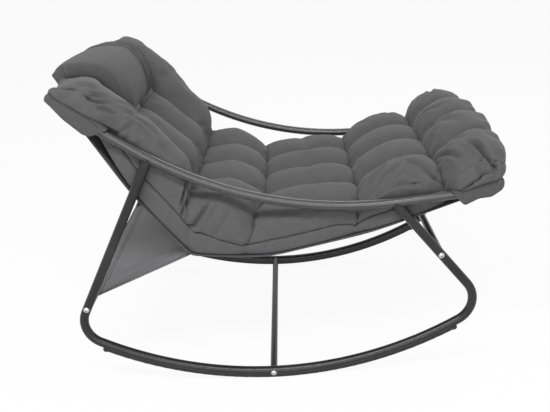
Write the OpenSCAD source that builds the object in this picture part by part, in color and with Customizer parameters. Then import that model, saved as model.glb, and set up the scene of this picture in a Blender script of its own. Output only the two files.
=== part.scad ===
// Rocking armchair: two bent tube side frames joined by five cross tubes, with a slung
// fabric seat, a pull sheet that holds its crease back, and a tufted cushion with a head pillow.
// x runs from the head (negative) to the feet, y across the chair, z up from the floor.

/* [Tubes] */
// Outside diameter of the rail and rocker tubes
tube_d = 25; // [22:0.5:30]
// Outside diameter of the five cross tubes
cross_d = 20; // [18:0.5:22]
// Wall thickness of every steel tube
tube_wall = 1.5; // [1:0.1:2.5]
// Distance between the side frames' centre planes at x = 0
frame_gap = 750; // [680:5:800]
// Angle by which each side frame closes in towards the feet
frame_toe = 1.55; // [0:0.05:2.5]

/* [Runners] */
// Bend radius of the runner's centreline
runner_r = 1041; // [950:5:1150]
// x of the runner's lowest point
runner_x = -44; // [-65:1:-20]
// Angle along the runner from its lowest point back to the rear bend
runner_rear_angle = 28.2; // [25:0.1:31]
// Angle along the runner from its lowest point forward to the front bend
runner_front_angle = 29.3; // [26:0.1:32]
// Bend radius between the runner and the rear leg
rear_bend_r = 72; // [60:1:85]
// Bend radius between the runner and the front leg
front_bend_r = 74; // [60:1:85]
// Slope of the rear leg above the floor
rear_leg_slope = 62.9; // [59:0.1:67]
// Slope of the front leg above the floor
front_leg_slope = 51.3; // [48:0.1:55]

/* [Rails] */
// Bend radius of the rail's centreline
rail_r = 1040; // [950:5:1150]
// x of the rail's lowest point
rail_low_x = 210; // [185:1:225]
// Height of the rail's lowest point above the floor
rail_low_z = 509; // [490:1:530]
// Angle at which the rail's rear end runs straight up
rail_rear_slope = 34.7; // [32:0.1:37]
// Angle at which the rail's front end runs straight up
rail_front_slope = 4.7; // [2:0.1:7]
// x of the head tube's axis on the rail
head_tube_x = -514; // [-525:1:-500]
// x of the foot tube's axis on the rail
foot_tube_x = 517; // [505:1:530]
// Length of rail beyond the axis of the head or foot tube
rail_tail = 12; // [11:0.5:16]

/* [Cross tubes] */
// Distance up the rear leg from its bend to the rear cross tube
rear_cross_up = 15; // [12:1:40]
// Distance up the front leg from its bend to the front cross tube
front_cross_up = 121; // [100:1:140]
// Angle along the runner from its lowest point to the bottom cross tube
bottom_cross_angle = -0.75; // [-3:0.05:3]
// Length of the threaded insert in each end of a cross tube
insert_l = 24; // [18:1:30]

/* [Bolts] */
// Diameter of the bolts
bolt_d = 8; // [6:0.5:8]
// Length of bolt that turns into the insert
bolt_grip = 16; // [12:1:17]
// Diameter of the button head
bolt_head_d = 14; // [12:0.5:15]
// Height of the button head
bolt_head_h = 4.4; // [3.5:0.1:5]
// Width across the flats of the hexagon socket
socket_af = 5; // [4:0.5:6]
// Diameter of the curved washer under a bolt head
washer_d = 16; // [15:0.5:18]
// Thickness of that washer at its middle
washer_t = 1.2; // [1:0.1:2]

/* [Rubber strips] */
// Depth of the strip below the runner tube
strip_h = 6; // [4:0.5:9]
// Width of the strip
strip_w = 17; // [14:0.5:20]
// Diameter of the bead at each end of the strip
strip_bead_d = 17; // [14:0.5:19]
// Angle short of each bend at which a strip ends
strip_end_angle = 1.1; // [0.8:0.1:3]

/* [Sling] */
// Thickness of the sling fabric
sling_t = 1.5; // [1:0.1:2.5]
// x of the crease between seat and back
crease_x = -264; // [-275:1:-250]
// Height of that crease
crease_z = 385; // [372:1:392]
// x of the seat's lowest bend
seat_low_x = -67; // [-85:1:-45]
// Height of the seat's lowest bend
seat_low_z = 366; // [356:1:372]
// Distance by which the slung back hangs behind a straight line
back_sag = 14; // [5:1:20]
// Distance by which the slung seat hangs below a straight line
seat_sag = 19; // [8:1:25]

/* [Cushion] */
// Padding height over the sling at the crown of each row, from head to foot
row_crown = [42, 122, 172, 122, 126, 132];
// Length of each row along the sling, from head to foot
row_length = [208, 345, 198, 272, 232, 156];
// Depth of each seam between rows, with both ends first and last
row_drop = [14, 26, 8, 52, 56, 62, 30];
// Depth of the seams that run from head to foot
column_drop = 20; // [10:1:28]
// Extra height of the outer columns at the back
back_dish = 46; // [30:1:55]
// Distance that the padding bulges over the rails at its two ends
end_bulge = 22; // [0:1:24]
// Thickness of the head pillow over the cushion
pillow_crown = 58; // [40:1:75]

/* [Hidden] */
$fn = 64;

tube_r = tube_d / 2;
cross_r = cross_d / 2;
// Room between pieces that touch on the real chair
fit = 0.2;
// Room between fabric and what it lies on
soft_fit = 0.4;
// Extra length of a cutting solid past the face that it cuts
over = 1;

function dir(a) = [cos(a), sin(a)];
function left_of(v) = [-v[1], v[0]];
function unit(v) = v / norm(v);
function angle_of(v) = atan2(v[1], v[0]);
// Last entry of a list
function last(list) = list[len(list) - 1];
function sum_to(list, n) = n <= 0 ? 0 : list[n - 1] + sum_to(list, n - 1);
// Point on the line through p along d that lies on the circle at c, on the far side of the chord
function meet_circle(p, d, c, r, side) =
    let (f = p - c, b = f * d, q = f * f - r * r) p + (-b + side * sqrt(b * b - q)) * d;

// Runner, bends and legs in the plane of a side frame
runner_c = [runner_x, tube_r + strip_h + runner_r];
rear_tangent = 270 - runner_rear_angle;
front_tangent = 270 + runner_front_angle;
rear_bend_c = runner_c + (runner_r - rear_bend_r) * dir(rear_tangent);
front_bend_c = runner_c + (runner_r - front_bend_r) * dir(front_tangent);
rear_leg_dir = dir(rear_leg_slope);
front_leg_dir = dir(180 - front_leg_slope);
rear_leg_foot = rear_bend_c + rear_bend_r * dir(rear_leg_slope + 90);
front_leg_foot = front_bend_c + front_bend_r * dir(90 - front_leg_slope);

// Rail: one long arc with a straight run at each end
rail_c = [rail_low_x, rail_low_z + rail_r];
rail_rear_start = rail_c + rail_r * dir(270 - rail_rear_slope);
rail_front_start = rail_c + rail_r * dir(270 + rail_front_slope);
rail_rear_dir = dir(180 - rail_rear_slope);
rail_front_dir = dir(rail_front_slope);
rail_rear_up = dir(90 - rail_rear_slope);
rail_front_up = dir(90 + rail_front_slope);
rear_leg_top = meet_circle(rear_leg_foot, rear_leg_dir, rail_c, rail_r, -1);
front_leg_top = meet_circle(front_leg_foot, front_leg_dir, rail_c, rail_r, -1);
head_axis = rail_rear_start
    + (head_tube_x - rail_rear_start[0]) / rail_rear_dir[0] * rail_rear_dir;
foot_axis = rail_front_start
    + (foot_tube_x - rail_front_start[0]) / rail_front_dir[0] * rail_front_dir;
rail_head_end = head_axis + rail_tail * rail_rear_dir;
rail_foot_end = foot_axis + rail_tail * rail_front_dir;
// Points beside the head and foot tubes: u out along the rail, v up from it
function near_head(u, v) = head_axis + u * rail_rear_dir + v * rail_rear_up;
function near_foot(u, v) = foot_axis + u * rail_front_dir + v * rail_front_up;

// Axes of the three lower cross tubes
rear_axis = rear_leg_foot + rear_cross_up * rear_leg_dir;
front_axis = front_leg_foot + front_cross_up * front_leg_dir;
bottom_axis = runner_c + runner_r * dir(270 + bottom_cross_angle);

// Distance of a side frame's centre plane from y = 0 at a point of that plane
function half_gap(p) = frame_gap / 2 - p[0] * sin(frame_toe);
function half_gap_at(x) = frame_gap / 2 - x * tan(frame_toe);
// x of a side frame's point once the frame is turned by its toe
function turned_x(p) = p[0] * cos(frame_toe);

// Turns a drawing in x and z into the plane of the right side frame
module in_right_frame() {
    translate([0, -frame_gap / 2, 0]) rotate([0, 0, frame_toe]) rotate([90, 0, 0]) children();
}

// Places a child at both side frames
module both_sides() {
    children();
    mirror([0, 1, 0]) children();
}

// Length by which a straight tube or the runner reaches into the bend beside it
lap = 1.5;
// Radius that a bend loses as its tube is drawn round
bend_thin = 0.1;
// Angle that the lap takes on the runner
lap_angle = lap / runner_r * 180 / PI;

// Tube along an arc of the drawing plane, from angle a0 to a1; bore 0 makes a solid rod
module bent_tube(c, r, a0, a1, outer, bore) {
    translate([c[0], c[1], 0]) rotate([0, 0, a0])
        rotate_extrude(angle = a1 - a0, $fn = 256) translate([r, 0]) difference() {
            circle(r = outer);
            if (bore > 0) circle(r = bore);
        }
}

// Tube between two points of the drawing plane, lapped into the bend at its first point
module straight_tube(p, q, outer, bore) {
    translate([p[0], p[1], 0]) rotate([0, 0, angle_of(q - p)]) rotate([0, 90, 0])
        translate([0, 0, -lap]) difference() {
            cylinder(h = norm(q - p) + lap, r = outer);
            if (bore > 0) translate([0, 0, -over]) cylinder(h = norm(q - p) + 3 * over, r = bore);
        }
}

// The whole rail
module rail_tube(outer, bore) {
    straight_tube(rail_rear_start, rail_head_end, outer, bore);
    bent_tube(rail_c, rail_r, 270 - rail_rear_slope, 270 + rail_front_slope, outer - bend_thin,
        bore - bend_thin);
    straight_tube(rail_front_start, rail_foot_end, outer, bore);
}

// Rear leg, runner and front leg in one bent tube
module rocker_tube(outer, bore) {
    straight_tube(rear_leg_foot, rear_leg_top, outer, bore);
    bent_tube(rear_bend_c, rear_bend_r, rear_leg_slope + 90, rear_tangent, outer - bend_thin,
        bore - bend_thin);
    bent_tube(runner_c, runner_r, rear_tangent - lap_angle, front_tangent + lap_angle, outer,
        bore);
    bent_tube(front_bend_c, front_bend_r, front_tangent, 450 - front_leg_slope,
        outer - bend_thin, bore - bend_thin);
    straight_tube(front_leg_foot, front_leg_top, outer, bore);
}

// Rod across the chair through a point of the side frames, as long as the chair and more
module cross_rod(axis, rod_r) {
    translate([turned_x(axis), 0, axis[1]]) rotate([90, 0, 0])
        cylinder(h = frame_gap + 8 * tube_d, r = rod_r, center = true);
}

module right_rail_shape() {
    difference() {
        in_right_frame() rail_tube(tube_r, tube_r - tube_wall);
        for (axis = [head_axis, foot_axis]) cross_rod(axis, bolt_d / 2 + fit);
    }
}

module right_rail() {
    color("dimgray") right_rail_shape();
}

module left_rail() {
    color("dimgray") mirror([0, 1, 0]) right_rail_shape();
}

// The leg tops are cut to the round of the rail and welded there
module right_rocker_shape() {
    difference() {
        in_right_frame() difference() {
            rocker_tube(tube_r, tube_r - tube_wall);
            rail_tube(tube_r + fit, 0);
        }
        for (axis = [rear_axis, front_axis, bottom_axis]) cross_rod(axis, bolt_d / 2 + fit);
    }
}

module right_rocker_tube() {
    color("dimgray") right_rocker_shape();
}

module left_rocker_tube() {
    color("dimgray") mirror([0, 1, 0]) right_rocker_shape();
}

// Plastic plug with a domed cover, pushed into an open end of a rail
cap_plug_l = 6;
cap_dome_h = 3;
module end_cap(end, away) {
    translate([end[0], end[1], 0]) rotate([0, 0, angle_of(away)]) rotate([0, 90, 0]) {
        translate([0, 0, -cap_plug_l]) cylinder(h = cap_plug_l, r = tube_r - tube_wall - fit);
        translate([0, 0, fit]) intersection() {
            cylinder(h = cap_dome_h, r = tube_r);
            translate([0, 0, cap_dome_h - tube_d]) sphere(r = tube_d);
        }
        cylinder(h = fit, r = tube_r - tube_wall - fit);
    }
}

module rail_end_caps() {
    color("black") both_sides() in_right_frame() {
        end_cap(rail_head_end, rail_rear_dir);
        end_cap(rail_foot_end, rail_front_dir);
    }
}

// Tube across the chair, its ends cut to the round of the side tubes
module cross_tube(axis, side_angle) {
    translate([turned_x(axis), 0, axis[1]]) difference() {
        rotate([90, 0, 0]) cylinder(h = 2 * half_gap(axis), r = cross_r, center = true);
        rotate([90, 0, 0])
            cylinder(h = 2 * half_gap(axis) + over, r = cross_r - tube_wall, center = true);
        both_sides() side_rod(axis, side_angle);
    }
}

// Length of side tube that cuts the end of a cross tube
saddle_l = 4 * tube_d;
// Straight rod where a side tube passes a cross tube, seen from the cross tube's middle
module side_rod(axis, side_angle) {
    translate([0, -half_gap(axis), 0]) rotate([0, 0, frame_toe]) rotate([0, -side_angle, 0])
        rotate([0, 90, 0]) cylinder(h = saddle_l, r = tube_r + fit, center = true);
}

module rear_cross_tube() {
    color("dimgray") cross_tube(rear_axis, rear_leg_slope);
}

module front_cross_tube() {
    color("dimgray") cross_tube(front_axis, -front_leg_slope);
}

module bottom_cross_tube() {
    color("dimgray") cross_tube(bottom_axis, bottom_cross_angle);
}

module head_cross_tube() {
    color("dimgray") cross_tube(head_axis, -rail_rear_slope);
}

module foot_cross_tube() {
    color("dimgray") cross_tube(foot_axis, rail_front_slope);
}

// Threaded sleeve pressed into the right end of a cross tube
module insert(axis) {
    translate([turned_x(axis), fit + tube_r + over - half_gap(axis), axis[1]])
        rotate([-90, 0, 0]) difference() {
            cylinder(h = insert_l, r = cross_r - tube_wall - fit);
            translate([0, 0, -over]) cylinder(h = insert_l + 2 * over, r = bolt_d / 2 + fit);
        }
}

module cross_tube_inserts() {
    color("silver") both_sides() for (axis = [rear_axis, front_axis, bottom_axis]) insert(axis);
}

module end_tube_inserts() {
    color("silver") both_sides() for (axis = [head_axis, foot_axis]) insert(axis);
}

// Button head bolt through the right side tube, its head seated at distance seat from the plane
module bolt(axis, seat) {
    translate([turned_x(axis), -half_gap(axis) - seat, axis[1]]) rotate([-90, 0, 0]) difference() {
        union() {
            cylinder(h = seat + tube_r + bolt_grip, r = bolt_d / 2);
            intersection() {
                translate([0, 0, -bolt_head_h]) cylinder(h = bolt_head_h, r = bolt_head_d / 2);
                translate([0, 0, bolt_head_d / 2 - bolt_head_h + over])
                    sphere(r = bolt_head_d / 2 + over);
            }
        }
        translate([0, 0, -bolt_head_h - over])
            cylinder(h = bolt_head_h / 2 + over, r = socket_af / sqrt(3), $fn = 6);
    }
}

washer_seat = tube_r + fit + washer_t;
module frame_bolts() {
    color("silver") both_sides()
        for (axis = [rear_axis, front_axis, bottom_axis]) bolt(axis, washer_seat + fit);
}

module end_tube_bolts() {
    color("silver") both_sides() for (axis = [head_axis, foot_axis]) bolt(axis, tube_r + fit);
}

// Washer with a flat outer face and an inner face curved to the tube
module curved_washer(axis, side_angle) {
    translate([turned_x(axis), 0, axis[1]]) difference() {
        translate([0, -half_gap(axis) - washer_seat, 0]) rotate([-90, 0, 0])
            cylinder(h = washer_seat - tube_r / 2, r = washer_d / 2);
        side_rod(axis, side_angle);
        translate([0, -half_gap(axis), 0]) rotate([90, 0, 0])
            cylinder(h = 2 * tube_d, r = bolt_d / 2 + fit, center = true);
    }
}

module frame_bolt_washers() {
    color("silver") both_sides() {
        curved_washer(rear_axis, rear_leg_slope);
        curved_washer(front_axis, -front_leg_slope);
        curved_washer(bottom_axis, bottom_cross_angle);
    }
}

// Rubber strip under a runner: its hollow top face fits the tube and a bead closes each end
strip_side_h = 4;
strip_corner = 2.5;
module strip_profile() {
    translate([runner_r + tube_r - strip_side_h, -strip_w / 2])
        square([strip_side_h + strip_h - strip_corner, strip_w]);
    translate([runner_r, strip_corner - strip_w / 2])
        square([tube_r + strip_h, strip_w - 2 * strip_corner]);
    for (s = [-1, 1])
        translate([runner_r + tube_r + strip_h - strip_corner,
            s * (strip_w / 2 - strip_corner)]) circle(r = strip_corner);
}

strip_rear = rear_tangent + strip_end_angle;
strip_front = front_tangent - strip_end_angle;
bead_proud = 1;
module strip_bead(a) {
    bead = runner_c + (runner_r + tube_r + strip_h + bead_proud - strip_bead_d / 2) * dir(a);
    translate([bead[0], bead[1], 0])
        cylinder(h = strip_w + 2 * bead_proud, r = strip_bead_d / 2, center = true);
}

module right_strip_shape() {
    in_right_frame() difference() {
        union() {
            translate([runner_c[0], runner_c[1], 0]) rotate([0, 0, strip_rear])
                rotate_extrude(angle = strip_front - strip_rear, $fn = 256) strip_profile();
            strip_bead(strip_rear);
            strip_bead(strip_front);
        }
        bent_tube(runner_c, runner_r, rear_tangent, front_tangent, tube_r + fit, 0);
        translate([bottom_axis[0], bottom_axis[1], 0])
            cylinder(h = strip_w + over, r = cross_r + fit, center = true);
    }
}

module right_runner_strip() {
    color("black") right_strip_shape();
}

module left_runner_strip() {
    color("black") mirror([0, 1, 0]) right_strip_shape();
}

// Point where a line from p touches a circle, on the side given by turn
function touch(c, r, p, turn) = c + r * dir(angle_of(p - c) + turn * acos(r / norm(p - c)));
// Points of a line whose corners are rounded, with one radius for each corner between its ends
function corner_arc(a, b, c, r) =
    let (u = unit(a - b), w = unit(c - b), turn = acos(u * w), t = r / tan(turn / 2),
        m = b + r / sin(turn / 2) * unit(u + w), a0 = angle_of(b + t * u - m),
        swing = angle_of(b + t * w - m) - a0, sweep = swing > 180 ? swing - 360
        : swing < -180 ? swing + 360 : swing, steps = ceil(abs(sweep) / 4))
    [for (i = [0:steps]) m + r * dir(a0 + sweep * i / steps)];
function bent_line(points, radii) = concat([points[0]],
    [for (i = [1:len(points) - 2]) each corner_arc(points[i - 1], points[i], points[i + 1],
        radii[i - 1])], [last(points)]);
// Distance along a line up to each of its points
function distances(line) = [for (i = 0, s = 0; i < len(line); s = s
    + (i + 1 < len(line) ? norm(line[i + 1] - line[i]) : 0), i = i + 1) s];

// Radii of the sling's bends: the hang of the back, the crease and the seat
back_bend_r = 700;
crease_r = 40;
seat_bend_r = 400;
seat_mid_r = 900;
foot_bend_r = 90;
sleeve_r = cross_r + soft_fit + sling_t;
crease = [crease_x, crease_z];
seat_low = [seat_low_x, seat_low_z];
sling_head = touch(head_axis, sleeve_r - sling_t / 2, crease, -1);
sling_foot = touch(foot_axis, sleeve_r - sling_t / 2, seat_low, 1);
seat_mid = (seat_low + sling_foot) / 2 - seat_sag * left_of(unit(sling_foot - seat_low));
back_bend = (sling_head + crease) / 2 + back_sag * left_of(unit(sling_head - crease));
sling_line = bent_line([sling_head, back_bend, crease, seat_low, seat_mid, sling_foot],
    [back_bend_r, crease_r, seat_bend_r, seat_mid_r]);

// Sheet of cloth across the chair along a line in x and z, reaching dy each way
module cloth(line, t, dy) {
    n = len(line);
    normals = [for (i = [0:n - 1])
        left_of(unit(line[min(i + 1, n - 1)] - line[max(i - 1, 0)]))];
    side_a = [for (i = [0:n - 1]) line[i] + t / 2 * normals[i]];
    side_b = [for (i = [n - 1:-1:0]) line[i] - t / 2 * normals[i]];
    rotate([90, 0, 0]) linear_extrude(height = 2 * dy, center = true)
        polygon(concat(side_a, side_b));
}

// Sewn sleeve round a cross tube
module sleeve(axis, dy) {
    translate([turned_x(axis), 0, axis[1]]) rotate([90, 0, 0])
        cylinder(h = 2 * dy, r = sleeve_r, center = true);
}

// Room left between the sling's edges and the side tubes
sling_edge_gap = 4;
// Space between the two side frames, narrowed by inset on each side
module between_frames(inset) {
    reach = 2 * frame_gap;
    y_head = half_gap_at(-reach) - inset;
    y_foot = half_gap_at(reach) - inset;
    linear_extrude(height = reach)
        polygon([[-reach, -y_head], [reach, -y_foot], [reach, y_foot], [-reach, y_head]]);
}

module sling() {
    color("darkslategray") intersection() {
        difference() {
            union() {
                cloth(sling_line, sling_t, frame_gap);
                sleeve(head_axis, frame_gap);
                sleeve(foot_axis, frame_gap);
            }
            cross_rod(head_axis, cross_r + soft_fit);
            cross_rod(foot_axis, cross_r + soft_fit);
        }
        between_frames(tube_r + sling_edge_gap);
    }
}

// Sheet from a sleeve on the rear cross tube to a seam under the sling's crease
sheet_t = 1.2;
sheet_seam = [crease_x, crease_z] + (sling_t + sheet_t) / 2 * [0.05, -1]
    + crease_r * [0.08, 0.06];
sheet_edge_gap = 12;
sheet_start = touch(rear_axis, sleeve_r - sheet_t / 2, sheet_seam, 1);
module rear_pull_sheet() {
    color("gray") intersection() {
        difference() {
            union() {
                cloth([sheet_start, sheet_seam], sheet_t, frame_gap);
                sleeve(rear_axis, frame_gap);
            }
            cross_rod(rear_axis, cross_r + soft_fit);
            cloth(sling_line, sling_t + 2 * soft_fit, frame_gap + over);
        }
        between_frames(tube_r + sheet_edge_gap);
    }
}

// Line that the cushion's underside follows: on the sling, and over the head and foot tubes
head_corner = near_head(78, 3);
foot_corner = near_foot(51, 14);
bed_lift = sleeve_r + soft_fit + 9;
bed_gap = sling_t / 2 + soft_fit;
head_over = head_axis + bed_lift * dir(47);
foot_over = foot_axis + bed_lift * dir(97);
foot_rise = sling_foot + 105 * unit(seat_mid - sling_foot);
bed_line = bent_line([head_corner, head_over,
    back_bend + bed_gap * dir(37), crease + bed_gap * dir(61) * 1.3,
    seat_low + bed_gap * dir(87), seat_mid + bed_gap * dir(102), foot_rise + bed_gap * dir(107),
    foot_over, foot_corner],
    [30, back_bend_r, crease_r, seat_bend_r, seat_mid_r, foot_bend_r, 30]);
bed_s = distances(bed_line);
bed_x = [for (i = [0:len(bed_line) - 1]) [bed_s[i], bed_line[i][0]]];
bed_z = [for (i = [0:len(bed_line) - 1]) [bed_s[i], bed_line[i][1]]];
function bed(s) = [lookup(s, bed_x), lookup(s, bed_z)];

// The padding stands on the bed along ribs: [distance along the bed, slope of the rib]
rows = len(row_crown);
bed_length = last(bed_s);
length_scale = bed_length / sum_to(row_length, rows);
function row_start(k) = sum_to(row_length, k) * length_scale;
rib_slope = [84, 41, 87, 87, 91, 97, 79];
back_rib_slope = 47;
rib_table = concat([for (k = [0:rows]) [row_start(k), rib_slope[k]]]);
function rib(s) = s > row_start(1) && s < row_start(2)
    ? let (t = (s - row_start(1)) / (row_start(2) - row_start(1)))
        lookup(t, [[0, rib_slope[1]], [0.5, back_rib_slope], [1, rib_slope[2]]])
    : lookup(s, rib_table);

// Rounded bulge between two seams, 0 at each and 1 in the middle
function puff(t) = pow(sin(180 * min(max(t, 0), 1)), 0.55);
row_steps = 6;
column_steps = 5;
columns = 4;
rings = rows * row_steps;
across = columns * column_steps;
crown_table = [for (k = [0:rows - 1]) [(row_start(k) + row_start(k + 1)) / 2, row_crown[k]]];
drop_table = [for (k = [0:rows]) [row_start(k), row_drop[k]]];
dish_table = [[0, 0.85], [row_start(1) / 2, 0.8], [row_start(1), 1.4],
    [(row_start(1) + row_start(2)) / 2, 0.9], [row_start(2), 0.5], [row_start(3), 0],
    [row_start(5), 0], [bed_length, -0.7]];
function ring_s(i) = let (k = min(floor(i / row_steps), rows - 1))
    row_start(k) + (row_start(k + 1) - row_start(k)) * (i / row_steps - k);
function row_puff(i) = puff((i % row_steps) / row_steps);
// Height of the tufted top over the bed at ring i and column step j
edge_drop = 26;
function top_height(i, j) =
    let (s = ring_s(i), a = row_puff(i), b = puff((j % column_steps) / column_steps),
        v = 2 * j / across - 1, seam = (j == 0 || j == across) ? edge_drop : column_drop)
    lookup(s, crown_table) - lookup(s, drop_table) * (1 - a) * (1 - 0.3 * b)
        - seam * (1 - b) + back_dish * lookup(s, dish_table) * pow(abs(v), 2.5);

// Half width of the cushion: between the rails, and bulged over them at the head and feet
rail_clear = 3;
draw_in = 7;
head_bulge_end = row_start(1) * 0.62;
foot_bulge_start = row_start(rows - 1) + 38;
function by_bulge(i) = bulge(i) == 0 && (bulge(i - 1) > 0 || bulge(i + 1) > 0);
function half_width(i) = half_gap_at(bed(ring_s(i))[0]) - tube_r - rail_clear
    - draw_in * (by_bulge(i) ? 1 : 1 - row_puff(i));
function bulge(i) = let (s = ring_s(i))
    s < head_bulge_end ? end_bulge : s > foot_bulge_start && i < rings ? end_bulge : 0;
// Height on rib i at which a line through p along d is crossed
function rib_meets(i, p, d) = let (n = left_of(d), q = p - bed(ring_s(i)), r = dir(rib(ring_s(i))))
    (q * n) / (r * n);
head_side_up = 16;
foot_side_seam = [near_foot(-82, 12), near_foot(56, 36)];
notch_gap = 9;
function notch(i) = ring_s(i) < row_start(1)
    ? max(4, notch_gap + rib_meets(i, near_head(0, head_side_up), rail_rear_dir))
    : max(4, notch_gap + rib_meets(i, foot_side_seam[0], unit(foot_side_seam[1] - foot_side_seam[0])));
bottom_steps = 3;
bottom_lift = 8;
side_in = 9;
side_swell = 1;
// Points of one ring round the cushion as [y, height on the rib], from the right edge over the
// top to the left edge and back along the bed
function ring_profile(i) =
    let (w = half_width(i), o = bulge(i), edge = top_height(i, 0), low = min(notch(i), edge - 12),
        side = o > 0 ? [[w, low], [w + o, low + 2], [w + o, (low + edge) / 2 + 3]]
            : [[w, edge * 0.35], [w + side_swell, edge * 0.6], [w, edge * 0.85]])
    concat([for (p = side) [-p[0], p[1]]],
        [for (j = [0:across]) [(2 * j / across - 1) * (w + o - side_in), top_height(i, j)]],
        [for (k = [len(side) - 1:-1:0]) side[k]],
        [[w - 4, bottom_lift]],
        [for (k = [0:bottom_steps]) [(1 - 2 * k / bottom_steps) * (w - side_in - 8), 0]],
        [[4 - w, bottom_lift]]);
function on_rib(i, y, h) = let (b = bed(ring_s(i)) + h * dir(rib(ring_s(i)))) [b[0], y, b[1]];
function ring_points(i) = [for (p = ring_profile(i)) on_rib(i, p[0], p[1])];

// Whether a four-sided patch is cut along the diagonal of the right half, so that the two halves
// of a cushion mirror each other and pieces that lie on each other are cut alike
function split_as_right(d, y) = abs(d) > 0.001 ? d < 0 : y < 0;
function mean_point(loop) =
    [for (d = [0:2]) sum_to([for (p = loop) p[d]], len(loop)) / len(loop)];
// Faces that fill a ring of n points whose first half runs above its second half, from point a
function ladder(n, a) = [for (k = [0:n / 2 - 2]) each [[a + k, a + n - 1 - k, a + k + 1],
    [a + k + 1, a + n - 1 - k, a + n - 2 - k]]];
function turned_over(faces) = [for (f = faces) [f[2], f[1], f[0]]];
// Closed skin over rings of equal length; the first and last are filled, by a fan from the
// ring's mean point or by a ladder between its upper and lower half
module skin(loops, fan) {
    n = len(loops[0]);
    m = len(loops);
    polyhedron(
        points = concat([for (loop = loops) each loop],
            fan ? [mean_point(loops[0]), mean_point(loops[m - 1])] : []),
        faces = concat(fan ? [for (k = [0:n - 1]) [(k + 1) % n, k, n * m]] : ladder(n, 0),
            [for (i = [0:m - 2], k = [0:n - 1]) let (k2 = (k + 1) % n, y = loops[i][k][1],
                y2 = loops[i][k2][1], a = i * n + k, b = i * n + k2)
                each split_as_right((y + y2) * (y2 - y), y) ? [[a, b, a + n], [a + n, b, b + n]]
                    : [[a, b, b + n], [a, b + n, a + n]]],
            fan ? [for (k = [0:n - 1]) [(m - 1) * n + k, (m - 1) * n + (k + 1) % n, n * m + 1]]
                : turned_over(ladder(n, (m - 1) * n))));
}

module cushion() {
    color("dimgray") skin([for (i = [0:rings]) ring_points(i)], true);
}

// The pillow stands on the cushion's own surface, between two rings and two column steps
pillow_rings = [0, 6];
pillow_columns = [4, 16];
pillow_rim = 5;
pillow_end = 0.06;
function pillow_swell(i, j) =
    let (t = (i - pillow_rings[0]) / (pillow_rings[1] - pillow_rings[0]),
        a = pillow_end + (1 - pillow_end) * t,
        b = (j - pillow_columns[0]) / (pillow_columns[1] - pillow_columns[0]))
    pow(sin(180 * min(max(a, 0), 1)), 0.5) * pow(sin(180 * min(max(b, 0), 1)), 0.4);
function pillow_point(i, j, lift) =
    let (w = half_width(i) + bulge(i) - side_in) on_rib(i, (2 * j / across - 1) * w,
        top_height(i, j) + lift);
function pillow_ring(i) = concat(
    [for (j = [pillow_columns[0]:pillow_columns[1]])
        pillow_point(i, j, 2 * soft_fit + pillow_rim + pillow_crown * pillow_swell(i, j))],
    [for (j = [pillow_columns[1]:-1:pillow_columns[0]]) pillow_point(i, j, 2 * soft_fit)]);
module head_pillow() {
    color("dimgray") skin([for (i = [pillow_rings[0]:pillow_rings[1]]) pillow_ring(i)], false);
}

// Length of rail that a pocket may reach along
pocket_l = 300;
// Room for a rail end, its cap, bolt head and cross tube inside a pocket of the cover
module rail_room(axis, end) {
    in_right_frame() {
        straight_tube(axis - pocket_l * unit(end - axis), end + (cap_dome_h + 2 * fit)
            * unit(end - axis), tube_r + soft_fit, 0);
    }
    translate([turned_x(axis), -half_gap(axis), axis[1]]) rotate([90, 0, 0])
        cylinder(h = tube_r + bolt_head_h + 2 * soft_fit, r = bolt_head_d / 2 + soft_fit);
}

// Fabric side of a pocket round a rail, from its outline in x and z
pocket_out = tube_r + bolt_head_h + 3;
pocket_in = tube_r + rail_clear - soft_fit - 1;
module pocket_side(outline) {
    in_right_frame() translate([0, 0, -pocket_in])
        linear_extrude(height = pocket_in + pocket_out) polygon(outline);
}

// Outline with each corner cut round by a small arc
corner_r = 7;
function rounded(points, r) = let (n = len(points))
    [for (i = [0:n - 1]) each corner_arc(points[(i + n - 1) % n], points[i], points[(i + 1) % n],
        r)];

pocket_wall = 2;
head_side = rounded([near_head(-51, -27), near_head(16, -15.5), near_head(60, -3), near_head(83, 1),
    near_head(88, 12), near_head(76, head_side_up), near_head(-84, head_side_up)], corner_r);
behind_sling = pocket_wall / 2 + sling_t / 2 + soft_fit;
back_out = left_of(unit(sling_head - back_bend));
// Length of panel that turns in behind the sling
pocket_hem = 42;
head_panel = bent_line([sling_head + pocket_hem * unit(back_bend - sling_head)
    + behind_sling * back_out,
    sling_head + 14 * unit(sling_head - back_bend) + 2 * behind_sling * back_out,
    near_head(81, 1), near_head(85, 11)], [8, 6]);
module head_pocket() {
    color("dimgray") difference() {
        union() {
            both_sides() pocket_side(head_side);
            intersection() {
                cloth(head_panel, pocket_wall, frame_gap);
                between_frames(tube_r + 1);
            }
        }
        both_sides() rail_room(head_axis, rail_head_end);
        cross_rod(head_axis, sleeve_r + soft_fit);
    }
}

foot_side = rounded([near_foot(-82, 2), near_foot(-61, -32), near_foot(-20, -15.5),
    near_foot(15, -15.5), near_foot(45, -1), near_foot(56, 16), foot_side_seam[1],
    foot_side_seam[0]], corner_r);
below_sling = -left_of(unit(sling_foot - seat_mid));
foot_panel = bent_line([sling_foot + pocket_hem * unit(seat_mid - sling_foot)
    + behind_sling * below_sling, sling_foot + 2 * behind_sling * below_sling,
    near_foot(46, 0), near_foot(56, 13)], [20, 6]);
module foot_pocket() {
    color("dimgray") difference() {
        union() {
            both_sides() pocket_side(foot_side);
            intersection() {
                cloth(foot_panel, pocket_wall, frame_gap);
                between_frames(tube_r + 1);
            }
        }
        both_sides() rail_room(foot_axis, rail_foot_end);
        cross_rod(foot_axis, sleeve_r + soft_fit);
    }
}

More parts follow.
